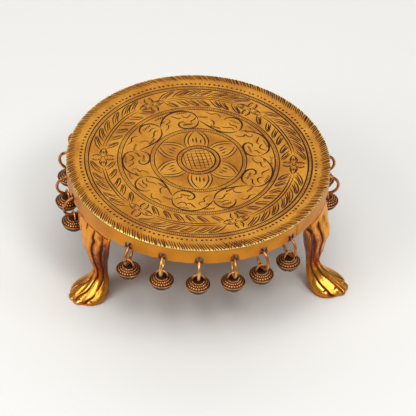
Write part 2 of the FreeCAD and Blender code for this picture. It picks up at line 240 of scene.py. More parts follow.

# Stains on the legs: a place, a radius and a strength, below zero where the spot is painted brown shade rather than a
# rusty stain.
# The rusty stains just under the top are partly painted shadow of the top.
left_leg_stains = (
    (97.6, 6.3, -47.6, 4.0, 0.6), (95.9, 6.3, -53.6, 4.2, 0.9), (93.3, 4.9, -61.3, 4.2, 1.0),
    (92.6, 4.7, -67.9, 3.5, 0.9), (98.6, 14.0, -20.0, 5.0, 0.7), (98.0, 16.5, -25.0, 4.5, 0.9),
    (94.0, 0.0, -59.0, 3.5, 0.7),
)
right_leg_stains = (
    (97.9, -17.4, -15.4, 4.5, 0.7), (101.8, -10.9, -40.4, 5.0, 0.6), (102.6, -5.3, -52.4, 4.2, 0.9),
    (101.7, -3.6, -59.9, 4.2, 1.0), (101.2, -3.3, -66.1, 3.5, 0.8), (102.2, -7.8, -21.5, 4.0, 0.8),
    (97.2, -9.8, -54.0, 4.5, 0.6), (97.0, -17.0, -26.0, 6.0, -0.6), (98.4, -14.5, -36.0, 7.0, -0.6),
    (98.0, -11.5, -46.0, 6.5, -0.6), (97.2, -9.5, -54.0, 5.0, -0.5), (101.8, -11.5, -36.0, 5.0, -0.7),
    (105.0, -2.8, -37.0, 3.5, 0.4),
)

# Lamps: azimuth and elevation in degrees, distance, width and height in metres, power in watts
softboxes = {
    "back_softbox": (82, 40, 2.0, 2.4, 1.3, 13.5),
    "top_softbox": (-90, 82, 1.6, 1.5, 1.5, 15.5),
    "left_softbox": (205, 38, 1.4, 0.6, 0.8, 8),
    "right_softbox": (-15, 48, 1.5, 0.32, 0.32, 2.4),
    "front_softbox": (-62, 52, 1.5, 0.45, 0.45, 6),
}
world_strength = 0.38

# Colours, as they look on the screen
ochre = (0.80, 0.565, 0.20)
deep_ochre = (0.68, 0.44, 0.15)
line_brown = (0.23, 0.09, 0.035)
ground_brown = (0.62, 0.38, 0.13)
# Pale gold of worn edges, also a painted highlight on the top's edge
edge_gold = (0.95, 0.84, 0.50)
band_gold = (0.84, 0.54, 0.16)
leg_gold = (0.92, 0.62, 0.22)
# Painted highlight on the legs' ridges
leg_highlight = (0.98, 0.74, 0.34)
leg_amber = (0.80, 0.44, 0.13)
# Brown of the legs' painted shade, with a little patina
leg_brown = (0.60, 0.30, 0.09)
leg_rust = (0.66, 0.30, 0.09)
leg_umber = (0.25, 0.12, 0.08)
wire_copper = (0.80, 0.49, 0.26)
copper = (0.56, 0.32, 0.17)
# Bright copper of worn beads, also a painted highlight
copper_bright = (0.90, 0.63, 0.35)
copper_dark = (0.22, 0.12, 0.08)
iron_grey = (0.30, 0.27, 0.25)
floor_white = (0.86, 0.855, 0.84)
room_grey = (0.80, 0.80, 0.80)


def linear(colour):
    """A screen colour as the four numbers that a shader socket takes."""
    steps = [c / 12.92 if c <= 0.04045 else ((c + 0.055) / 1.055) ** 2.4 for c in colour]
    return (*steps, 1.0)


# Shader values and finishes

class Value:
    """A number that varies over a surface: sums on it add Math nodes."""

    def __init__(self, finish, output):
        self.finish = finish
        self.output = output

    def math(self, operation, first, second):
        return self.finish.node("ShaderNodeMath", {"operation": operation}, {0: first, 1: second})

    def __add__(self, other):
        return self.math("ADD", self, other)

    __radd__ = __add__

    def __sub__(self, other):
        return self.math("SUBTRACT", self, other)

    def __rsub__(self, other):
        return self.math("SUBTRACT", other, self)

    def __mul__(self, other):
        return self.math("MULTIPLY", self, other)

    __rmul__ = __mul__

    def ramp(self, start, end):
        """0 below start, 1 above end and smooth between them."""
        settings = {"interpolation_type": "SMOOTHSTEP"}
        sockets = {"Value": self, "From Min": start, "From Max": end}
        return self.finish.node("ShaderNodeMapRange", settings, sockets)


class Finish:
    """A material with one Principled shader, whose nodes are added through node."""

    def __init__(self, name):
        self.material = bpy.data.materials.new(name)
        self.material.use_nodes = True
        self.tree = self.material.node_tree
        self.shader = self.tree.nodes["Principled BSDF"]
        self.place = self.node("ShaderNodeTexCoord", {}, {}, "Object")

    def node(self, kind, settings, sockets, output=0):
        node = self.tree.nodes.new(kind)
        for key, value in settings.items():
            setattr(node, key, value)
        for key, value in sockets.items():
            self.feed(node.inputs[key], value)
        return Value(self, node.outputs[output])

    def feed(self, socket, value):
        if isinstance(value, Value):
            self.tree.links.new(value.output, socket)
        else:
            socket.default_value = value

    def set(self, **sockets):
        """Feeds the shader's sockets and gives back the material."""
        for key, value in sockets.items():
            self.feed(self.shader.inputs[key.replace("_", " ")], value)
        return self.material

    def vector(self, operation, first, second, output="Vector"):
        """Maths on vectors. Its output Value is a number."""
        return self.node("ShaderNodeVectorMath", {"operation": operation}, {0: first, 1: second}, output)

    def noise(self, size, detail=2.0, stretch=(1.0, 1.0, 1.0)):
        """Cloudy noise from 0 to 1 with patches about size across, drawn out along an axis by stretch."""
        scale = tuple(1 / (size * factor) for factor in stretch)
        spot = self.vector("MULTIPLY", self.place, scale)
        return self.node("ShaderNodeTexNoise", {}, {"Vector": spot, "Scale": 1.0, "Detail": detail})

    def attribute(self, name):
        """A mark of the mesh."""
        return self.node("ShaderNodeAttribute", {"attribute_name": name}, {}, "Fac")

    def mix(self, share, first, second):
        """A colour between two others."""
        sockets = {0: share, 6: first, 7: second}
        return self.node("ShaderNodeMix", {"data_type": "RGBA"}, sockets, 2)

    def bump(self, height, distance):
        """Small relief: height is a Value, distance the depth in metres at a height of 1."""
        return self.node("ShaderNodeBump", {}, {"Height": height, "Distance": distance, "Strength": 1.0})


def engraved_finish():
    """Satin brass with brown patina in its cuts, matt ground between petals and a worn edge whose pale gold is also a
    painted highlight.
    """
    finish = Finish("engraved_brass")
    cloud = finish.noise(22 * mm, 3.0)
    speckle = finish.noise(1.3 * mm, 4.0)
    blotch = finish.noise(5 * mm, 4.0)
    groove = finish.attribute("groove").ramp(0.02, 0.3)
    ground = finish.attribute("ground")
    wear = finish.attribute("wear")
    base = finish.mix(cloud.ramp(0.35, 0.7), linear(ochre), linear(deep_ochre))
    base = finish.mix(blotch.ramp(0.5, 0.8) * 0.35, base, linear(deep_ochre))
    base = finish.mix(speckle.ramp(0.45, 0.75) * 0.6, base, linear(ground_brown))
    base = finish.mix(ground * (0.25 + speckle * 0.4), base, linear(ground_brown))
    base = finish.mix(wear, base, linear(edge_gold))
    return finish.set(
        Base_Color=finish.mix(groove, base, linear(line_brown)),
        Metallic=1 - groove * 0.7,
        Roughness=0.38 + speckle * 0.16 + groove * 0.3 + ground * 0.15 - wear * 0.12,
        Normal=finish.bump(speckle + blotch * 1.5, 0.06 * mm),
    )


def band_finish():
    """Satin brass, brushed along the hoop, with brown shade painted inside the hoop and round its holes."""
    finish = Finish("satin_brass")
    cloud = finish.noise(14 * mm, 3.0)
    brushed = finish.noise(0.7 * mm, 2.0, (14.0, 14.0, 0.6))
    speckle = finish.noise(0.8 * mm, 3.0)
    nearest = 1.0
    for number in range(1, bell_count + 1):
        hole = joints["ring_%02d_swing" % number]["pos_m"]
        away = finish.vector("DISTANCE", finish.place, tuple(hole), "Value")
        nearest = away.math("MINIMUM", away, nearest)
    flat = finish.vector("MULTIPLY", finish.place, (1.0, 1.0, 0.0))
    radius = finish.vector("LENGTH", flat, (0.0, 0.0, 0.0), "Value")
    # Painted shade: brown round the holes and on the inner face of the hoop.
    hole_shade = 1 - (nearest + cloud * 1.5 * mm).ramp(3.6 * mm, 5.2 * mm)
    inside = 1 - radius.ramp(band_high.x - 0.5 * mm, band_high.x - 0.12 * mm)
    stain = hole_shade.math("MAXIMUM", hole_shade * 0.75, inside * 0.9)
    base = finish.mix(cloud.ramp(0.35, 0.75) * 0.6, linear(band_gold), linear(deep_ochre))
    base = finish.mix(speckle.ramp(0.55, 0.8) * 0.25, base, linear(ground_brown))
    return finish.set(
        Base_Color=finish.mix(stain, base, linear(line_brown)),
        Metallic=1 - stain * 0.5,
        Roughness=0.34 + brushed * 0.14 + stain * 0.3,
        Normal=finish.bump(brushed + speckle * 0.5, 0.03 * mm),
    )


def leg_finish():
    """Polished cast brass, amber round its cuts, rust red where stained and dark brown in its hollows, with painted
    shade on one flank, its lower sides and its dips and painted highlights on its ridges.
    """
    finish = Finish("cast_brass")
    cloud = finish.noise(7 * mm, 2.0)
    pits = finish.noise(2.0 * mm, 2.0)
    hollow = finish.attribute("hollow")
    stain = finish.attribute("stain")
    shade = finish.attribute("shade")
    dip = finish.attribute("dip")
    # Amber, brown and umber carry patina round the cuts and painted shade from the shade, side and dip marks; the
    # ridges get a painted highlight.
    amber = (hollow * 1.2 + cloud * 0.4 + shade * 0.8 + finish.attribute("warm") + dip * 0.6).ramp(0.3, 0.95)
    brown = (dip * 0.8 + shade * 1.4 + hollow * 0.3 + cloud * 0.2).ramp(0.3, 1.05)
    umber = (hollow * (0.7 + pits * 0.6) + shade * 0.8 + pits * 0.1).ramp(0.55, 1.15) * 0.9
    base = finish.mix(finish.attribute("crest") * (1 - shade), linear(leg_gold), linear(leg_highlight))
    base = finish.mix(amber, base, linear(leg_amber))
    base = finish.mix(brown, base, linear(leg_brown))
    base = finish.mix((stain * (0.7 + pits * 0.6)).ramp(0.05, 0.8), base, linear(leg_rust))
    base = finish.mix(pits.ramp(0.6, 0.85) * 0.3, base, linear(leg_amber))
    return finish.set(
        Base_Color=finish.mix(umber, base, linear(leg_umber)),
        Metallic=1 - umber * 0.5,
        Roughness=0.25 + pits * 0.06 + umber * 0.25,
        Normal=finish.bump(cloud, 0.12 * mm),
    )


def wire_finish():
    """Copper-brown wire, dark in patches and brassy where it has rubbed."""
    finish = Finish("worn_wire")
    cloud = finish.noise(3 * mm, 3.0)
    pits = finish.noise(0.6 * mm, 3.0)
    rubbed = finish.attribute("wear")
    base = finish.mix(cloud.ramp(0.45, 0.8), linear(wire_copper), linear(copper_dark))
    return finish.set(
        Base_Color=finish.mix(rubbed, base, linear(edge_gold)),
        Metallic=1.0,
        Roughness=0.22 + pits * 0.18,
        Normal=finish.bump(pits + cloud, 0.07 * mm),
    )


def bell_finish():
    """Dark bell metal, brown in its hollows and copper where its beads and rim have worn; the bright copper on beads,
    lip and loop is also a painted highlight.
    """
    finish = Finish("dark_bell_metal")
    cloud = finish.noise(4 * mm, 3.0)
    pits = finish.noise(0.6 * mm, 3.0)
    wear = finish.attribute("wear")
    shine = (wear + cloud * 0.5 - 0.25).ramp(0.0, 0.85)
    base = finish.mix(shine, linear(copper_dark), linear(copper))
    return finish.set(
        Base_Color=finish.mix((shine * wear).ramp(0.45, 0.9), base, linear(copper_bright)),
        Metallic=1 - (1 - shine) * 0.3,
        Roughness=0.46 - shine * 0.2 + pits * 0.14,
        Normal=finish.bump(pits + cloud, 0.12 * mm),
    )


def plain_finish():
    """Dull yellow brass of the hidden fixings."""
    finish = Finish("plain_brass")
    cloud = finish.noise(2 * mm, 3.0)
    return finish.set(
        Base_Color=finish.mix(cloud.ramp(0.4, 0.75), linear(ochre), linear(ground_brown)),
        Metallic=1.0,
        Roughness=0.35 + cloud * 0.2,
        Normal=finish.bump(cloud, 0.04 * mm),
    )


def pellet_finish():
    """Rusted iron of the loose pellets."""
    finish = Finish("pellet_iron")
    rust = finish.noise(1.2 * mm, 4.0)
    return finish.set(
        Base_Color=finish.mix(rust.ramp(0.4, 0.7), linear(iron_grey), linear(copper_dark)),
        Metallic=0.8,
        Roughness=0.45 + rust * 0.3,
        Normal=finish.bump(rust, 0.1 * mm),
    )


def floor_finish():
    """Plain pale floor, with the faintest unevenness."""
    finish = Finish("pale_floor")
    cloud = finish.noise(300 * mm, 2.0)
    return finish.set(Base_Color=linear(floor_white), Roughness=0.75 + cloud * 0.1)


finishes = {
    "engraved_brass": engraved_finish(),
    "satin_brass": band_finish(),
    "cast_brass": leg_finish(),
    "worn_wire": wire_finish(),
    "dark_bell_metal": bell_finish(),
    "plain_brass": plain_finish(),
}
pellet_iron = pellet_finish()


# Helpers

def add_object(name, data):
    made = bpy.data.objects.new(name, data)
    bpy.context.scene.collection.objects.link(made)
    return made


def direction(azimuth_deg, elevation_deg):
    """The unit vector that points to an azimuth, counted from x towards y, and an elevation."""
    azimuth, elevation = math.radians(azimuth_deg), math.radians(elevation_deg)
    return Vector((
        math.cos(azimuth) * math.cos(elevation), math.sin(azimuth) * math.cos(elevation), math.sin(elevation)))


def clamped(values):
    """Values held between 0 and 1."""
    return np.clip(values, 0, 1)


def piece(name, vertices, faces, slot, body, smooth=True, marks=None, material=None):
    """A mesh with its finish, riding a body. Marks are numbers for each vertex, by name."""
    mesh = bpy.data.meshes.new(name)
    mesh.from_pydata([tuple(v) for v in vertices], [], faces)
    mesh.materials.append(material or finishes[slot])
    mesh.polygons.foreach_set("use_smooth", [smooth] * len(mesh.polygons))
    for mark, values in (marks or {}).items():
        attribute = mesh.attributes.new(mark, "FLOAT", "POINT")
        attribute.data.foreach_set("value", np.asarray(values, np.float32))
    mesh.validate()
    mesh.update()
    shell = bmesh.new()
    shell.from_mesh(mesh)
    bmesh.ops.recalc_face_normals(shell, faces=shell.faces)
    shell.to_mesh(mesh)
    shell.free()
    made = add_object(name, mesh)
    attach(made, body)
    return made


def grid_faces(rows, columns):
    """The quads between closed rows of vertices that follow one another."""
    faces = []
    for above in range(0, (rows - 1) * columns, columns):
        below = above + columns
        for column in range(columns):
            after = (column + 1) % columns
            faces.append((above + column, below + column, below + after, above + after))
    return faces


def end_faces(count, columns):
    """The faces that close the first and the last of some rows, count vertices in all."""
    return [tuple(range(columns)), tuple(range(count - columns, count))]


def tube(centres, outward, side, radii, segments=14):
    """A bent round wire, closed at both ends. Outward and side are its directions across at each centre."""
    turns = np.arange(segments) * full_turn / segments
    across = outward[:, None] * np.cos(turns)[None, :, None] + side * np.sin(turns)[None, :, None]
    vertices = (centres[:, None] + radii[:, None, None] * across).reshape(-1, 3)
    return vertices, grid_faces(len(centres), segments) + end_faces(len(vertices), segments)


def polar(radius, turn_deg):
    """Flat points at some radii and turns in degrees."""
    turn = np.radians(turn_deg)
    return np.stack([radius * np.cos(turn), radius * np.sin(turn)], -1)


def smooth_line(points, step):
    """Points about a step apart on a smooth curve through the given ones."""
    points = np.asarray(points, float)
    padded = np.vstack([2 * points[0] - points[1], points, 2 * points[-1] - points[-2]])
    line = []
    for before, start, end, after in zip(padded, padded[1:], padded[2:], padded[3:]):
        count = max(2, math.ceil(np.linalg.norm(end - start) / step))
        for t in np.arange(count) / count:
            line.append(0.5 * (
                2 * start + (end - before) * t + (2 * before - 5 * start + 4 * end - after) * t ** 2
                + (3 * start - before - 3 * end + after) * t ** 3))
    line.append(points[-1])
    return np.array(line)


def within(points, shape, reach):
    """Which points lie in the box round a shape's points, grown by reach on every side."""
    return ((points > shape.min(0) - reach) & (points < shape.max(0) + reach)).all(1)


# Engraving of the top

class Engraving:
    """V-shaped cuts in a flat face, each with centre points, a half width at each and a closed flag."""

    curve_step = 1.1 * mm

    def __init__(self, radius):
        self.radius = radius
        self.random = np.random.default_rng(7)
        self.cuts = []
        self.pits = []

    def cut(self, centres, width, run_off=False):
        """A cut that swells from nothing at its ends, or stays wide where it runs off the edge."""
        swell = np.sin(np.linspace(0, math.pi, len(centres))) ** 0.5
        swell[[0, -1]] = 0.0
        if run_off:
            swell[len(centres) // 2:] = 1.0
        centres = np.asarray(centres, float)
        weight = 1 + right_side_weight * centres[:, 0] / self.radius
        self.cuts.append((centres, width / 2 * swell * weight, False))

    def curve(self, places, width):
        """A cut through places given as turns in degrees and shares of the radius."""
        turns, shares = np.array(places, float).T
        points = smooth_line(polar(shares * self.radius, turns), self.curve_step)
        self.cut(points, width * self.random.uniform(0.88, 1.12))

    def circle(self, share, width):
        """A ring at a share of the radius, with a hand's small wander in its line and its width."""
        count = round(full_turn * share * self.radius / self.curve_step)
        turns = np.arange(count) * 360 / count
        wander = 0.15 * mm * np.sin(np.radians(turns * 2) + share * 40)
        centres = polar(share * self.radius + wander, turns)
        weight = (
            1 + 0.12 * np.sin(np.radians(turns * 9) + share * 70)
            + right_side_weight * np.cos(np.radians(turns)))
        self.cuts.append((centres, width / 2 * weight, True))

    def depths(self, points):
        """How deep the cuts are at some points of the face."""
        depth = np.zeros(len(points))
        for centres, halves, closed in self.cuts:
            reach = halves.max()
            near = np.flatnonzero(within(points, centres, reach))
            starts = centres if closed else centres[:-1]
            ends = np.roll(centres, -1, 0) if closed else centres[1:]
            start_halves = halves if closed else halves[:-1]
            end_halves = np.roll(halves, -1) if closed else halves[1:]
            for start, end, first, last in zip(starts, ends, start_halves, end_halves):
                span = end - start
                close = near[within(points[near], np.stack([start, end]), reach)]
                along = clamped((points[close] - start) @ span / (span @ span))
                away = np.linalg.norm(points[close] - start - along[:, None] * span, axis=1)
                here = graver_slope * (first + (last - first) * along - away)
                depth[close] = np.maximum(depth[close], here)
        for centre, radius in self.pits:
            away = np.linalg.norm(points - centre, axis=1)
            depth = np.maximum(depth, graver_slope * (radius - away))
        return depth

    def lines(self):
        """Both edges and the centre line of every cut, as chains of points."""
        for centres, halves, closed in self.cuts:
            if closed:
                along = np.roll(centres, -1, 0) - np.roll(centres, 1, 0)
            else:
                along = np.gradient(centres, axis=0)
            along = along / np.linalg.norm(along, axis=1)[:, None]
            across = np.stack([-along[:, 1], along[:, 0]], 1) * halves[:, None]
            for side in (-1, 0, 1):
                yield centres + side * across, closed
        for centre, radius in self.pits:
            yield centre + polar(np.full(10, radius), np.arange(10) * 36), True
            yield centre + polar(np.full(6, radius * 0.4), np.arange(6) * 60), True


def engrave_rings(work):
    """The double rings with the beads between their lines, and the row of punched dots."""
    for outer, inner, width in double_rings:
        work.circle(outer, width)
        work.circle(inner, width)
        count = round(full_turn * outer * work.radius / bead_pitch)
        gap = 0.3 * width / work.radius
        for turn in np.arange(count) * 360 / count:
            sway = work.random.uniform(-0.12, 0.12) * 360 / count
            shares = np.linspace(inner + gap, outer - gap, 5)
            lean = np.linspace(-bead_lean_deg, bead_lean_deg, 5)
            work.cut(polar(shares * work.radius, turn + sway + lean), bead_tick_width)
    for turn in np.arange(dot_count) * 360 / dot_count:
        stray = work.random.uniform(-1, 1, 3)
        place = (dot_ring_share + dot_stray_share * stray[0]) * work.radius
        work.pits.append((polar(place, turn + dot_stray_deg * stray[1]), dot_width / 2 * (1 + 0.12 * stray[2])))


def engrave_fringe(work):
    """The slanted strokes that run off the rim, cut harder on some stretches and crossed on others."""
    hard_stretches_deg = ((-5, 96), (178, 292))
    crossed_stretches_deg = ((276, 286), (178, 187))
    for turn in np.arange(fringe_count) * 360 / fringe_count:
        hard = any((turn - start) % 360 < end - start for start, end in hard_stretches_deg)
        crossed = any((turn - start) % 360 < end - start for start, end in crossed_stretches_deg)
        width = (hard_stroke_width if hard else faint_stroke_width) * work.random.uniform(0.75, 1.15)
        start = fringe_start_share + work.random.uniform(-0.01, 0.01) + (0.006 if turn < 180 else -0.004)
        turn = turn + work.random.uniform(-0.16, 0.16)
        shares = np.linspace(start, work.random.uniform(0.992, 1.0), 5)
        lean = fringe_lean_deg * (shares - start) / (1 - start) * work.random.uniform(0.85, 1.15)
        work.cut(polar(shares * work.radius, turn + lean), width, run_off=True)
        if crossed:
            work.cut(polar(shares * work.radius, turn - lean * 0.8), width * 0.6, run_off=True)


def engrave_centre(work):
    """The cross-hatched middle and the six petals with their veins."""
    reach = double_rings[-1][1] - 0.008
    spacing = 0.031
    for tilt_deg in grid_tilts_deg:
        for step in range(-3, 4):
            offset = (step + 0.15) * spacing
            half = math.sqrt(reach ** 2 - offset ** 2)
            run = np.linspace(-half, half, 9)
            bow = offset + 0.006 * np.cos(run / reach * 1.5) * (1 if step > 0 else -1)
            tilt = math.radians(tilt_deg)
            x = run * math.cos(tilt) - bow * math.sin(tilt)
            y = run * math.sin(tilt) + bow * math.cos(tilt)
            work.cut(np.stack([x, y], 1) * work.radius, grid_width)
    vein_shares = ((-0.030, 0.195, 0.246), (-0.002, 0.186, 0.268), (0.028, 0.193, 0.250))
    for turn in petal_turns_deg:
        for side in (-1, 1):
            for edge_shares in (petal_edge_shares, petal_fold_shares):
                radii, sideways = np.array(edge_shares).T
                angles = turn + np.degrees(side * sideways / radii)
                work.curve(np.stack([angles, radii], 1), line_width)
        for sideways, start, end in vein_shares:
            shares = np.linspace(start, end, 4) + work.random.uniform(-0.008, 0.008)
            angles = turn + np.degrees((sideways + work.random.uniform(-0.003, 0.003)) / shares)
            work.cut(polar(shares * work.radius, angles), line_width * 1.15)


def engrave_scroll(work):
    """The curling vine between the inner rings, lobe by lobe: a small lobe has only the first part of a whole one.

    Places are degrees from the lobe's start and shares of the radius."""
    lobe = ((0, .46), (1.5, .50), (5, .545), (11, .570), (18, .576), (25, .563), (31, .53), (36, .49), (39, .46))
    dip = ((39, .46), (41, .43), (45, .395), (52, .376), (60, .378), (68, .400), (74, .43), (79, .46))
    curl = (
        (0, .46), (0.4, .42), (3, .386), (8, .369), (14, .370), (19, .387), (21, .42), (19, .447), (15, .452),
        (13.5, .43))
    small = ((39, .46), (39.5, .50), (42.5, .545), (47, .570), (52, .567), (56, .54), (57.5, .505))
    leaf_edges = (
        ((7, .535), (8, .508), (11, .490), (14, .508), (14.5, .530)),
        ((14.5, .505), (18, .495), (21, .520), (23.5, .545)),
        ((28, .520), (25.5, .500), (27, .478), (31, .470), (30, .448), (33, .420), (38, .408)),
        ((2.5, .500), (4, .470), (7.5, .452), (7, .430)),
        ((42, .480), (46, .497), (50, .488), (53, .505)),
        ((42, .445), (46, .460), (49.5, .448), (52, .432), (57, .428)),
        ((61, .520), (63, .548), (66, .558), (69, .545), (72, .553), (75, .566)),
        ((64, .415), (63, .445), (65.5, .472), (68.5, .485)),
    )
    hatches = ((6, .415, 6), (44, .530, 5), (9, .553, 5), (55, .405, 7), (31, .500, 3), (29, .553, 5), (71, .50, 5))
    spans = np.diff(lobe_turns_deg + (lobe_turns_deg[0] + 360,))
    for start, span in zip(lobe_turns_deg, spans):
        whole = span > (whole_lobe_deg + small_lobe_deg) / 2
        stretch = span / (whole_lobe_deg if whole else small_lobe_deg)
        for line in (lobe, curl) + ((dip, small) if whole else ()):
            work.curve([(start + turn * stretch, share) for turn, share in line], line_width * 1.45)
        for edge in leaf_edges:
            if whole or edge[-1][0] < small_lobe_deg:
                stray = work.random.uniform(-1, 1, 2) * (0.8, 0.004)
                places = [(start + (turn + stray[0]) * stretch, share + stray[1]) for turn, share in edge]
                work.curve(places, line_width)
        for turn, share, count in hatches:
            if whole or turn < small_lobe_deg:
                for step in range(count):
                    lean = start + (turn + step * 1.7) * stretch
                    length = work.random.uniform(0.018, 0.030)
                    places = [(lean, share + length / 2), (lean + 1, share), (lean + 2.2, share - length / 2)]
                    work.curve(places, hatch_width)


def engrave_leaf(work, base, length, inward, hatched):
    """One pointed leaf of the garland, from its foot on the stem towards its tip."""
    foot_share, tip_share = inner_leaf_shares if inward else outer_leaf_shares
    rise = tip_share - foot_share
    bulge = length * 0.22
    upper = [(base, foot_share), (base - length * 0.35, foot_share + rise * 0.62),
             (base - length * 0.7, foot_share + rise * 0.93), (base - length, tip_share)]
    lower = [(base - bulge * 1.6, foot_share), (base - length * 0.62, foot_share + rise * 0.42),
             (base - length * 0.9, foot_share + rise * 0.75), (base - length, tip_share)]
    work.curve(upper, line_width)
    work.curve(lower, line_width)
    for step in range(5 if hatched else 3):
        share = foot_share + rise * (0.34 + (0.12 if hatched else 0.2) * step)
        middle = base - length * (0.40 + (0.10 if hatched else 0.16) * step)
        slant = length * 0.17
        drop = rise * 0.19
        work.curve([(middle + slant, share - drop), (middle, share), (middle - slant, share + drop)], hatch_width)


def engrave_flower(work, turn):
    """A four-petalled flower astride the stem: two long petals along the radius and two round ones beside."""
    def stroke(side, end, places, width):
        """A cut through places given from the flower's middle, as degrees aside and shares outward."""
        work.curve([(turn + side * aside, flower_middle_share + end * out) for aside, out in places], width)

    wheel = [(0.95 * math.cos(a), 0.0125 * math.sin(a)) for a in np.linspace(0, full_turn, 9)]
    stroke(1, 1, wheel, line_width * 0.85)
    for side in (-1, 1):
        for end, reach in ((1, 0.088), (-1, 0.090)):
            long_petal = ((0.8, 0.016), (2.2, reach * 0.42), (2.0, reach * 0.75), (0.9, reach))
            stroke(side, end, long_petal, line_width * 1.15)
        for end in (-1, 1):
            stroke(side, end, ((1.2, 0.008), (3.4, 0.026), (6.2, 0.019), (8.8, 0.0)), line_width)
        for out in (-0.010, 0.0, 0.010):
            stroke(side, 1, ((3.0, out), (4.6, out * 1.3), (6.2, out * 1.5)), hatch_width)
        for end in (-1, 1):
            for out in (0.030, 0.048, 0.066):
                stroke(side, end, ((0.5, out), (1.5, out + 0.010)), hatch_width)


def engrave_garland(work):
    """The leafy garland: a double stem from flower to flower with slanting leaves on both sides."""
    spans = np.diff(flower_turns_deg + (flower_turns_deg[0] + 360,))
    for number, (turn, span) in enumerate(zip(flower_turns_deg, spans)):
        engrave_flower(work, turn)
        for share in stem_shares:
            run = np.linspace(turn + stem_start_deg, turn + span - stem_start_deg, 9)
            work.curve([(a, share + 0.002 * math.sin(a)) for a in run], line_width)
        count = int((span - 8) // leaf_pitch_deg)
        for step in range(count):
            base = turn + 15 + step * (span - 21) / (count - 1) + work.random.uniform(-0.8, 0.8)
            engrave_leaf(work, base, work.random.uniform(10.5, 12.5), False, (step + number) % 3 != 1)
            base = turn + 12.5 + step * (span - 20) / (count - 1) + work.random.uniform(-0.8, 0.8)
            engrave_leaf(work, base, work.random.uniform(8.0, 10.0), True, (step + number) % 3 != 2)


def dull_ground(points, radius):
    """1 on the matt ground between the petals, less in the dulled fringe, else 0."""
    share = np.hypot(*points.T) / radius
    turn = np.degrees(np.arctan2(points[:, 1], points[:, 0]))
    inside_petal = np.zeros(len(points), bool)
    for petal in petal_turns_deg:
        away = np.radians((turn - petal + 180) % 360 - 180) * share
        half = np.interp(share, *np.array(petal_edge_shares).T)
        inside_petal |= np.abs(away) < half
    ground = ((share > 0.170) & (share < 0.328) & ~inside_petal).astype(float)
    return np.maximum(ground, clamped((share - fringe_start_share) / 0.02) * 0.8)


def flat_face(work, face_radius):
    """The engraved face laid flat: points and triangles that follow every cut's edges."""
    flat = [polar(face_radius, np.arange(rim_steps) * 360 / rim_steps)]
    chains = [(rim_steps, True)]
    for line, closed in work.lines():
        flat.append(line)
        chains.append((len(line), closed))
    edges = []
    first = 0
    for count, closed in chains:
        edges += [(first + i, first + i + 1) for i in range(count - 1)]
        if closed:
            edges.append((first + count - 1, first))
        first += count
    places = [Vector(p) / mm for p in np.vstack(flat)]
    found, _, triangles, _, _, _ = delaunay_2d_cdt(places, edges, [], 0, 1e-4, False)
    points = np.array([p[:] for p in found]) * mm
    triangles = np.array(triangles)
    middles = points[triangles].mean(1)
    triangles = triangles[np.hypot(*middles.T) < face_radius * math.cos(math.pi / rim_steps)]
    used = np.unique(triangles)
    order = np.full(len(points), -1)
    order[used] = np.arange(len(used))
    return points[used], order[triangles]


def open_edge(faces):
    """The vertices along the outer edge of some triangles, in order."""
    sides = {}
    for a, b, c in faces:
        for start, end in ((a, b), (b, c), (c, a)):
            sides[(start, end)] = True
    following = {start: end for start, end in sides if (end, start) not in sides}
    rim = [next(iter(following))]
    while following[rim[-1]] != rim[0]:
        rim.append(following[rim[-1]])
    return rim


def make_engraved_top():
    """The top disc as one closed mesh: cut face, notched edge and plain underside."""
    work = Engraving(table_radius)
    for engrave in (engrave_rings, engrave_fringe, engrave_centre, engrave_scroll, engrave_garland):
        engrave(work)
    face_radius = table_radius - edge_chamfer
    points, triangles = flat_face(work, face_radius)
    depth = work.depths(points)
    vertices = [(x, y, -d) for (x, y), d in zip(points, depth)]
    faces = [tuple(t) for t in triangles.tolist()]
    rim = open_edge(faces)
    groove = list(clamped(depth / full_groove_depth))
    ground = list(dull_ground(points, table_radius))
    # The edge is worn, and its pale gold is also a painted highlight.
    near_edge = (np.hypot(*points.T) - face_radius + edge_wear_width) / edge_wear_width
    wear = list(clamped(near_edge) * 0.8 * (depth == 0))
    # Worn edge and painted highlight: most on the chamfer, less down the side, none underneath.
    rows = ((0.0, edge_chamfer, 0.9), (0.0, disc_thickness - edge_chamfer, 0.3), (edge_chamfer, disc_thickness, 0.0))
    above = rim
    for inset, drop, worn in rows:
        start = len(vertices)
        for index in rim:
            x, y = points[index]
            outward = (table_radius - inset) / math.hypot(x, y)
            notch = depth[index] * (0.15 if worn > 0.5 else 0.0)
            vertices.append((x * outward * (1 - notch), y * outward * (1 - notch), -drop - notch * 0.5))
            groove.append(0.3 * groove[index] * (worn > 0.5))
            ground.append(0.0)
            wear.append(worn)
        row = list(range(start, start + len(rim)))
        for i in range(len(rim)):
            after = (i + 1) % len(rim)
            faces.append((above[i], row[i], row[after], above[after]))
        above = row
    vertices.append((0.0, 0.0, -disc_thickness))
    groove.append(0.0)
    ground.append(1.0)
    wear.append(0.0)
    for i in range(len(above)):
        faces.append((above[i], len(vertices) - 1, above[(i + 1) % len(above)]))
    marks = {"groove": groove, "ground": ground, "wear": wear}
    top = piece("engraved_top", vertices, faces, "engraved_brass", "stand", False, marks)
    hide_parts("top_disc")


make_engraved_top()


# Rings and bells

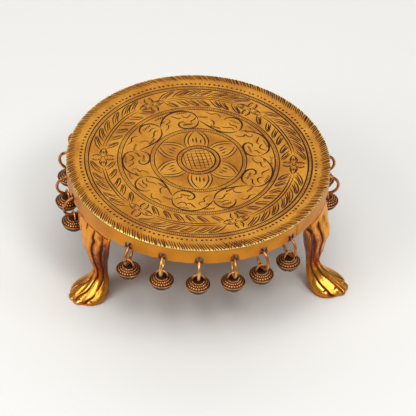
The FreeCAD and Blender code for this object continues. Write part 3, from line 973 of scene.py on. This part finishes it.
def make_ring(number):
    """One split wire ring, where its two joints put it, with a little of the maker's unevenness."""
    key = "ring_%02d" % number
    low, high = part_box(key)
    swing = joints["bell_%02d_swing" % number]
    foot = np.array(swing["pos_m"])
    along = np.array(swing["axis"])
    side = np.array([-along[1], along[0], 0.0])
    wire = foot[2] - low.z
    bend = (high.z - low.z) / 2 - wire
    middle = np.array([foot[0], foot[1], foot[2] + bend])
    start = ring_split_turn_deg + ring_split_deg / 2
    sweep = np.linspace(0, 360 - ring_split_deg, 84)
    tip_deg = math.degrees(0.5 * wire / bend)
    sweep = np.concatenate([[-tip_deg, -0.7 * tip_deg], sweep, sweep[-1] + np.array([0.7 * tip_deg, tip_deg])])
    uneven = 1 - 0.03 * np.abs(np.sin(np.radians(sweep[2:-2] * 3.5 + number * 50)))
    thick = np.concatenate([[0.45, 0.8], uneven, [0.8, 0.45]])
    turn = np.radians(start + sweep)
    outward = along * np.cos(turn)[:, None] + np.array([0, 0, 1.0]) * np.sin(turn)[:, None]
    vertices, faces = tube(middle + bend * outward, outward, side, wire * thick)
    upper, lower = brassy_rings.get(number, (0.0, 0.06))
    high_share = np.clip((vertices[:, 2] - middle[2]) / bend, -1, 1)
    wear = np.interp(high_share, (-1, -0.3, 0.3, 1), (lower, (lower + upper) / 2, upper, upper * 0.5))
    ring = piece("wire_" + key, vertices, faces, "worn_wire", key, marks={"wear": wear})
    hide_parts(key)


def cap_height(radii, edge_radius, rise):
    """How far a round cap stands above its edge at some radii."""
    bend = (edge_radius ** 2 + rise ** 2) / (2 * rise)
    return np.sqrt(bend ** 2 - radii ** 2) - (bend - rise)


def bell_rows(edge_radius, top_rise, bottom_rise, half_flange, counts):
    """Radii and heights over the widest level, from the crown to the slits and on to the petals' tips."""
    upper_count, skirt_count, petal_count = counts
    upper = edge_radius * np.linspace(0.02, 1, upper_count)
    upper_z = half_flange + cap_height(upper, edge_radius, top_rise)
    slit_depth = bell_slit_drop - bell_widest_drop
    bend = (edge_radius ** 2 + bottom_rise ** 2) / (2 * bottom_rise)
    slit_radius = math.sqrt(bend ** 2 - (slit_depth - half_flange + bend - bottom_rise) ** 2)
    skirt = np.linspace(edge_radius, slit_radius, skirt_count + 1)[1:]
    petal = np.linspace(slit_radius, 1.5 * bell_slit_half, petal_count + 1)[1:]
    lower = np.concatenate([skirt, petal])
    lower_z = -half_flange - cap_height(lower, edge_radius, bottom_rise)
    return (upper, upper_z), (lower, lower_z)


def bell_loop():
    """The wire loop on a bell's crown, with its foot sunk in the crown."""
    arch = np.radians(np.linspace(0, 180, 17))
    loop_y = np.concatenate([[loop_radius] * 2, loop_radius * np.cos(arch), [-loop_radius] * 2])
    shank = [-loop_foot_drop, -(loop_foot_drop + loop_middle_drop) / 2]
    loop_z = np.concatenate([shank, loop_radius * np.sin(arch) - loop_middle_drop, shank[::-1]])
    spine = np.stack([np.zeros(len(loop_y)), loop_y, loop_z], 1)
    outward = np.stack([np.zeros(len(loop_y)), np.concatenate([[1, 1], np.cos(arch), [-1, -1]]),
                        np.concatenate([[0, 0], np.sin(arch), [0, 0]])], 1)
    thick = loop_wire_radius * (1 - 0.06 * np.abs(np.cos(np.linspace(0, math.pi, len(loop_y)))))
    return tube(spine, outward, np.array([1.0, 0.0, 0.0]), thick, 12)


def make_pellet(number, place):
    """A loose iron pellet, not quite round."""
    rings, spokes = 9, 14
    tilt = np.radians(np.linspace(4, 176, rings))
    spin = np.arange(spokes) * full_turn / spokes
    ball = np.stack([np.outer(np.sin(tilt), np.cos(spin)), np.outer(np.sin(tilt), np.sin(spin)),
                     np.outer(np.cos(tilt), np.ones(spokes))], -1).reshape(-1, 3)
    ball *= pellet_radius * (1 - 0.05 * np.abs(np.sin(ball @ np.array([3.0, 5.0, 4.0]))))[:, None]
    faces = grid_faces(rings, spokes) + end_faces(rings * spokes, spokes)
    piece("pellet_%02d" % number, place + ball, faces, "dark_bell_metal", "bell_%02d" % number,
          material=pellet_iron)


def make_bell(number):
    """One bell: beaded dome, flange and four petals below, hollow, with its loop and loose pellet."""
    key = "bell_%02d" % number
    hang = np.array(joints[key + "_swing"]["pos_m"])
    node = np.array([v.co[:] for v in frame["nodes"][key].data.vertices])
    loop_points = node[node[:, 2] > hang[2] - loop_middle_drop][:, :2]
    spread = np.linalg.eigh(np.cov(loop_points.T))[1]
    across = np.array([*spread[:, 1], 0.0])
    along = np.array([across[1], -across[0], 0.0])
    up = np.array([0.0, 0.0, 1.0])
    random = np.random.default_rng(number)

    skirt_rows, petal_rows = 5, 9
    petal_steps, slit_steps = 34, 6
    top_rise = bell_widest_drop - bell_flange_half - bell_apex_drop
    bottom_rise = bell_bottom_drop - bell_widest_drop - bell_flange_half
    (upper, upper_z), (lower, lower_z) = bell_rows(
        bell_body_radius, top_rise, bottom_rise, bell_flange_half, (32, skirt_rows, petal_rows))
    inner_radius = bell_body_radius - bell_wall
    (crown, crown_z), (under, under_z) = bell_rows(
        inner_radius, bell_widest_drop - bell_apex_drop - bell_wall,
        bell_bottom_drop - bell_widest_drop - bell_wall, 0.0, (6, skirt_rows, petal_rows))
    flange_reach = bell_flange_radius - bell_body_radius
    lip = np.array([0.65, 1.0, 1.0, 0.65]) * flange_reach + bell_body_radius
    lip_z = np.array([0.95, 0.55, -0.55, -0.95]) * bell_flange_half

    slit_radius = lower[skirt_rows - 1]
    half_deg = math.degrees(math.asin(bell_slit_half / slit_radius))
    quarter_steps = petal_steps + slit_steps
    quarter = np.concatenate([
        np.linspace(half_deg, 90 - half_deg, petal_steps + 1)[:-1],
        np.linspace(90 - half_deg, 90 + half_deg, slit_steps + 1)[:-1]])
    turns = np.radians(np.concatenate([45 + 90 * side + quarter for side in range(4)]))
    columns = len(turns)

    vertices, wear = [], []

    def add_row(radius, height, mark, around=turns):
        """A row of vertices round the bell: each value holds for the row or lists its vertices."""
        level = np.zeros(columns)
        vertices.append(np.stack([radius * np.cos(around), radius * np.sin(around), level + height], 1))
        wear.append(level + mark)

    def petal_turns(radius):
        """The row's turns with the slits held to their width at this radius."""
        half = math.asin(min(1.0, bell_slit_half / radius))
        warped = turns.copy()
        for side in range(4):
            first = side * quarter_steps
            start = math.radians(45 + 90 * side)
            warped[first:first + petal_steps + 1] = start + np.linspace(half, math.pi / 2 - half, petal_steps + 1)
        return warped

    # Bead tops get a high wear mark: worn copper and a painted highlight.
    for radius, height in zip(upper, upper_z):
        near = [abs(radius - row) for row in bead_row_radii]
        row = int(np.argmin(near))
        shift = random.uniform(-0.1, 0.1)
        if radius > bead_row_radii[-1] + bead_row_pitch / 2:
            lift, mark = 1.0, 0.4
        elif radius < bead_row_radii[0] - bead_row_pitch / 2:
            lift, mark = 0.4, 0.0
        else:
            ridge = max(0.0, math.cos(math.pi * min(near[row] / bead_row_pitch, 0.5)))
            bead = 0.5 + 0.5 * np.cos(bead_count * turns + math.pi * (row % 2) + shift)
            lift = mark = ridge * (0.35 + 0.65 * bead)
        drop = bead_height * (1 - lift)
        add_row(radius - drop * radius / bell_body_radius * 0.5, height - drop, mark)
    # The lip is lighter on its upper side than below: wear and painted highlight.
    for radius, height, worn in zip(lip, lip_z, (0.8, 0.75, 0.4, 0.3)):
        add_row(radius, height, worn)
    for index, (radius, height) in enumerate(zip(lower, lower_z)):
        add_row(radius, height, 0.15, petal_turns(radius) if index >= skirt_rows else turns)
    outer_rows = len(vertices)
    for index, (radius, height) in enumerate(zip(under[::-1], under_z[::-1])):
        add_row(radius, height, 0.0, petal_turns(radius) if index < petal_rows else turns)
    for radius, height in zip(crown[::-1], crown_z[::-1]):
        add_row(radius, height, 0.0)

    cut_from = outer_rows - petal_rows - 1
    cut_to = outer_rows + petal_rows
    faces = []
    for index, face in enumerate(grid_faces(len(vertices), columns)):
        row, column = divmod(index, columns)
        if column % quarter_steps < petal_steps or not cut_from <= row < cut_to:
            faces.append(face)
    for first in range(0, columns, quarter_steps):
        for column in (first, first + petal_steps):
            for step in range(petal_rows):
                outer_row = cut_from + step
                inner_row = cut_to - step
                faces.append(tuple(row * columns + column for row in (
                    outer_row, outer_row + 1, inner_row - 1, inner_row)))
        for column in range(first + petal_steps, first + quarter_steps):
            after = (column + 1) % columns
            faces.append((cut_from * columns + column, cut_from * columns + after,
                          cut_to * columns + after, cut_to * columns + column))
    faces += end_faces(len(vertices) * columns, columns)
    shell = np.concatenate(vertices) + np.array([0.0, 0.0, -bell_widest_drop])
    wear = list(np.concatenate(wear))

    loop, loop_faces = bell_loop()
    faces += [tuple(index + len(shell) for index in face) for face in loop_faces]
    # The loop is lighter towards its top: wear and painted highlight.
    wear += list(np.interp(loop[:, 2], (-4 * mm, 2.8 * mm), (0.5, 1.0)))

    local = np.concatenate([shell, loop])
    placed = hang + local[:, :1] * along + local[:, 1:2] * across + local[:, 2:] * up
    bell = piece("cast_" + key, placed, faces, "dark_bell_metal", key, marks={"wear": wear})
    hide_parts(key)
    make_pellet(number, hang - up * pellet_drop)


# Legs

def leg_mesh(node):
    """A node's surface as even small quads: its points, faces and edges."""
    work = add_object("work", frame["nodes"][node].data.copy())
    remesh = work.modifiers.new("even", "REMESH")
    remesh.mode = "VOXEL"
    remesh.voxel_size = leg_grid
    mesh = bpy.data.meshes.new_from_object(work.evaluated_get(bpy.context.evaluated_depsgraph_get()))
    points = np.array([v.co[:] for v in mesh.vertices])
    faces = [tuple(p.vertices) for p in mesh.polygons]
    edges = np.array([e.vertices[:] for e in mesh.edges])
    bpy.data.objects.remove(work)
    return points, faces, edges


def smoothed(points, edges, loose, rounds):
    """Points drawn towards their neighbours and back again, which evens creases but keeps the bulk.

    Loose says how freely each point moves. Half a round only draws them in."""
    draw_in, draw_back = 0.6, -0.62
    ends = edges.ravel()
    others = edges[:, ::-1].ravel()
    count = np.bincount(ends, minlength=len(points))[:, None]
    for step in range(round(2 * rounds)):
        total = np.stack([np.bincount(ends, points[others, axis], len(points)) for axis in range(3)], 1)
        share = draw_back if step % 2 else draw_in
        points = points + share * loose[:, None] * (total / count - points)
    return points


def facing(points, faces):
    """The direction in which the surface faces at each point."""
    quads = np.array(faces)
    corners = points[quads]
    across = np.cross(corners[:, 2] - corners[:, 0], corners[:, 3] - corners[:, 1])
    total = np.zeros_like(points)
    for corner in range(4):
        np.add.at(total, quads[:, corner], across)
    return total / np.linalg.norm(total, axis=1)[:, None]


def make_leg(name, cuts, swellings, stains, shading, mirror, lean):
    """A cast leg with its tendons, toes and nails, cut into the plain form along the listed lines.

    Shading paints shade onto one flank, more of it towards the top: its sign tells which flank, its size how much.
    Mirror swaps the sides of the places, and lean moves them outward towards the top."""
    node = "leg_" + name
    foot = mounts["foot_" + name]["pos_m"]
    turn = math.atan2(foot[1], foot[0])
    out = np.array([math.cos(turn), math.sin(turn), 0.0])
    left = np.array([-math.sin(turn), math.cos(turn), 0.0])
    frame_axes = np.array([out, left, [0.0, 0.0, 1.0]])
    points, faces, edges = leg_mesh(node)
    points = points @ frame_axes.T
    top = points[:, 2].max()
    floor = points[:, 2].min()
    reach = points[:, 0].max()

    # The face under the top, the sole and the lug at the back of the top are held still
    free = clamped((top - 1.2 * mm - points[:, 2]) / (2 * mm))
    free *= clamped((points[:, 2] - floor) / (1.5 * mm))
    free *= clamped((points[:, 0] - reach + 36 * mm) / (3 * mm) + (top - 5 * mm - points[:, 2]) / (3 * mm))
    points = smoothed(points, edges, free, leg_smoothing_rounds)
    surface = BVHTree.FromPolygons([tuple(p) for p in points], faces)
    normals = facing(points, faces)
    hollow = np.zeros(len(points))
    push = np.zeros(len(points))

    def seat(place):
        """The point of the plain form that is nearest to a place."""
        x, y, z = place[0] * mm, place[1] * mm * (-1 if mirror else 1), place[2] * mm
        x += lean * (top - z) / (top - floor)
        return np.array(surface.find_nearest(Vector((x, y, z)))[0])

    def patch(place, radius):
        """1 at a place on the leg, falling to 0 at a radius in mm."""
        gap = np.linalg.norm(points - seat(place), axis=1)
        return clamped(1 - (gap / (radius * mm)) ** 2)

    for darkness, line in cuts.values():
        seats = np.array([seat(row) for row in line])
        widths = np.array([row[3] for row in line]) * mm
        track = smooth_line(np.column_stack([seats, widths]), cut_step)
        near = np.flatnonzero(within(points, track[:, :3], widths.max() * (hollow_reach + 0.3)))
        gaps = np.linalg.norm(points[near][:, None] - track[None, :, :3], axis=2)
        closest = gaps.argmin(1)
        gap = gaps[np.arange(len(near)), closest]
        width = np.maximum(track[closest, 3], 0.3 * mm)
        core = clamped(1 - (gap / (core_reach * width + 0.12 * mm)) ** 2) ** 1.5
        wide = clamped(1 - (gap / (hollow_reach * width)) ** 2) ** 2
        push[near] = np.maximum(push[near], core_depth * width * core + hollow_depth * width * wide)
        strength = darkness * np.minimum((width + 0.5 * mm) / (1.7 * mm), 1.1)
        hollow[near] = np.maximum(hollow[near], strength * (0.7 * core + 0.5 * wide))
    for *place, radius, height in swellings:
        push -= height * mm * patch(place, radius) ** 1.5
    x, y, z = (points / cast_wave_length).T
    push += cast_wave_height * np.sin(x + 1.3 * z) * np.sin(y * 1.4 - 0.7 * z)
    points = points - normals * (push * free)[:, None]
    points = smoothed(points, edges, free, 1)
    points[:, 2] = np.clip(points[:, 2], floor, top)
    normals = facing(points, faces)
    drop = (top - points[:, 2]) / (top - floor)
    # Painted shade: one flank is darkened, more so towards the top, where the top's shadow falls.
    side = math.copysign(1, shading) * (-1 if mirror else 1)
    turned_away = abs(shading) * clamped(normals[:, 1] * side * 2.2 - 0.9)
    shade = turned_away * np.clip(1.6 - 1.6 * drop, 0.25, 1)
    stain = np.zeros(len(points))
    # A stain of negative strength adds painted shade to the shade mark, not rust.
    for *place, radius, strength in stains:
        mark = stain if strength > 0 else shade
        mark[:] = np.maximum(mark, abs(strength) * patch(place, radius))
    # Painted shade and reflection: the lower leg turns amber wherever it faces sideways or down.
    warm = clamped(1 - normals[:, 2] / 0.6) * np.clip(0.35 + (drop - 0.4) * 1.2, 0.35, 0.6)
    # Painted shade and highlight by curvature: dip darkens the hollows of the form, and the ridges get a painted
    # highlight.
    even = points
    for step in range(relief_rounds):
        even = smoothed(even, edges, free, 0.5)
    dip = ((even - points) * normals).sum(1) / full_relief
    marks = {
        "hollow": clamped(hollow), "stain": stain, "shade": shade, "warm": warm,
        "dip": clamped(dip), "crest": np.clip(-0.1 - dip, 0, 0.9)}
    leg = piece("cast_" + node, points @ frame_axes, faces, "cast_brass", "stand", marks=marks)
    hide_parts(node)


for bell_number in range(1, bell_count + 1):
    make_ring(bell_number)
    make_bell(bell_number)
make_leg("left", left_leg_cuts, left_leg_swellings, left_leg_stains, 1.0, False, 0.0)
make_leg("right", right_leg_cuts, right_leg_swellings, right_leg_stains, -0.65, False, 0.0)
make_leg("back", left_leg_cuts, left_leg_swellings, left_leg_stains, 1.0, True, back_leg_lean)


# Finishes of the CAD pieces that are shown as they are

for node in ("rim_band", "leg_bosses", "leg_washers", "leg_screws"):
    mesh = frame["nodes"][node].data
    mesh.materials.clear()
    mesh.materials.append(finishes["satin_brass" if node == "rim_band" else "plain_brass"])


# Floor, light and camera

def make_floor():
    """A wide plain floor under the feet."""
    reach = 8.0
    level = cad_box[0].z
    mesh = bpy.data.meshes.new("floor")
    corners = [(x * reach, y * reach, level) for x, y in ((-1, -1), (1, -1), (1, 1), (-1, 1))]
    mesh.from_pydata(corners, [], [(0, 1, 2, 3)])
    mesh.materials.append(floor_finish())
    add_object("floor", mesh)


def make_world():
    """Plain dim light from all round."""
    world = bpy.data.worlds.new("studio")
    world.use_nodes = True
    background = world.node_tree.nodes["Background"]
    background.inputs["Color"].default_value = linear(room_grey)
    background.inputs["Strength"].default_value = world_strength
    bpy.context.scene.world = world


def make_softbox(name, azimuth_deg, elevation_deg, distance, width, height, power):
    """A rectangular soft lamp that faces the middle of the stand."""
    away = direction(azimuth_deg, elevation_deg)
    lamp = bpy.data.lights.new(name, "AREA")
    lamp.shape = "RECTANGLE"
    lamp.size = width
    lamp.size_y = height
    lamp.energy = power
    softbox = add_object(name, lamp)
    softbox.location = away * distance
    softbox.rotation_mode = "QUATERNION"
    softbox.rotation_quaternion = away.to_track_quat("Z", "Y")


def make_camera():
    """The photograph's view: aimed so that the middle of the top falls on its own pixel."""
    azimuth = math.radians(camera_azimuth_deg)
    elevation = math.radians(camera_elevation_deg)
    roll = math.radians(camera_roll_deg)
    back = Vector((
        math.sin(azimuth) * math.cos(elevation), -math.cos(azimuth) * math.cos(elevation), math.sin(elevation)))
    level_right = Vector((math.cos(azimuth), math.sin(azimuth), 0.0))
    level_up = back.cross(level_right)
    right = level_right * math.cos(roll) + level_up * math.sin(roll)
    up = level_up * math.cos(roll) - level_right * math.sin(roll)
    middle_px = picture_width_px / 2
    right_px = middle_px - table_middle_px[0]
    down_px = middle_px - table_middle_px[1]
    ahead = (-back * focal_length_px + right * right_px - up * down_px).normalized()
    right = (right - ahead * right.dot(ahead)).normalized()
    up = right.cross(ahead)
    camera = bpy.data.cameras.new("camera")
    camera.sensor_width = 36.0
    camera.lens = focal_length_px * camera.sensor_width / picture_width_px
    camera.clip_end = 50.0
    viewer = add_object("camera", camera)
    place = Matrix((right, up, -ahead)).transposed().to_4x4()
    place.translation = back * camera_distance
    viewer.matrix_world = place
    bpy.context.scene.camera = viewer


make_floor()
make_world()
for lamp_name, setting in softboxes.items():
    make_softbox(lamp_name, *setting)
make_camera()
bpy.context.scene.view_settings.view_transform = "Standard"
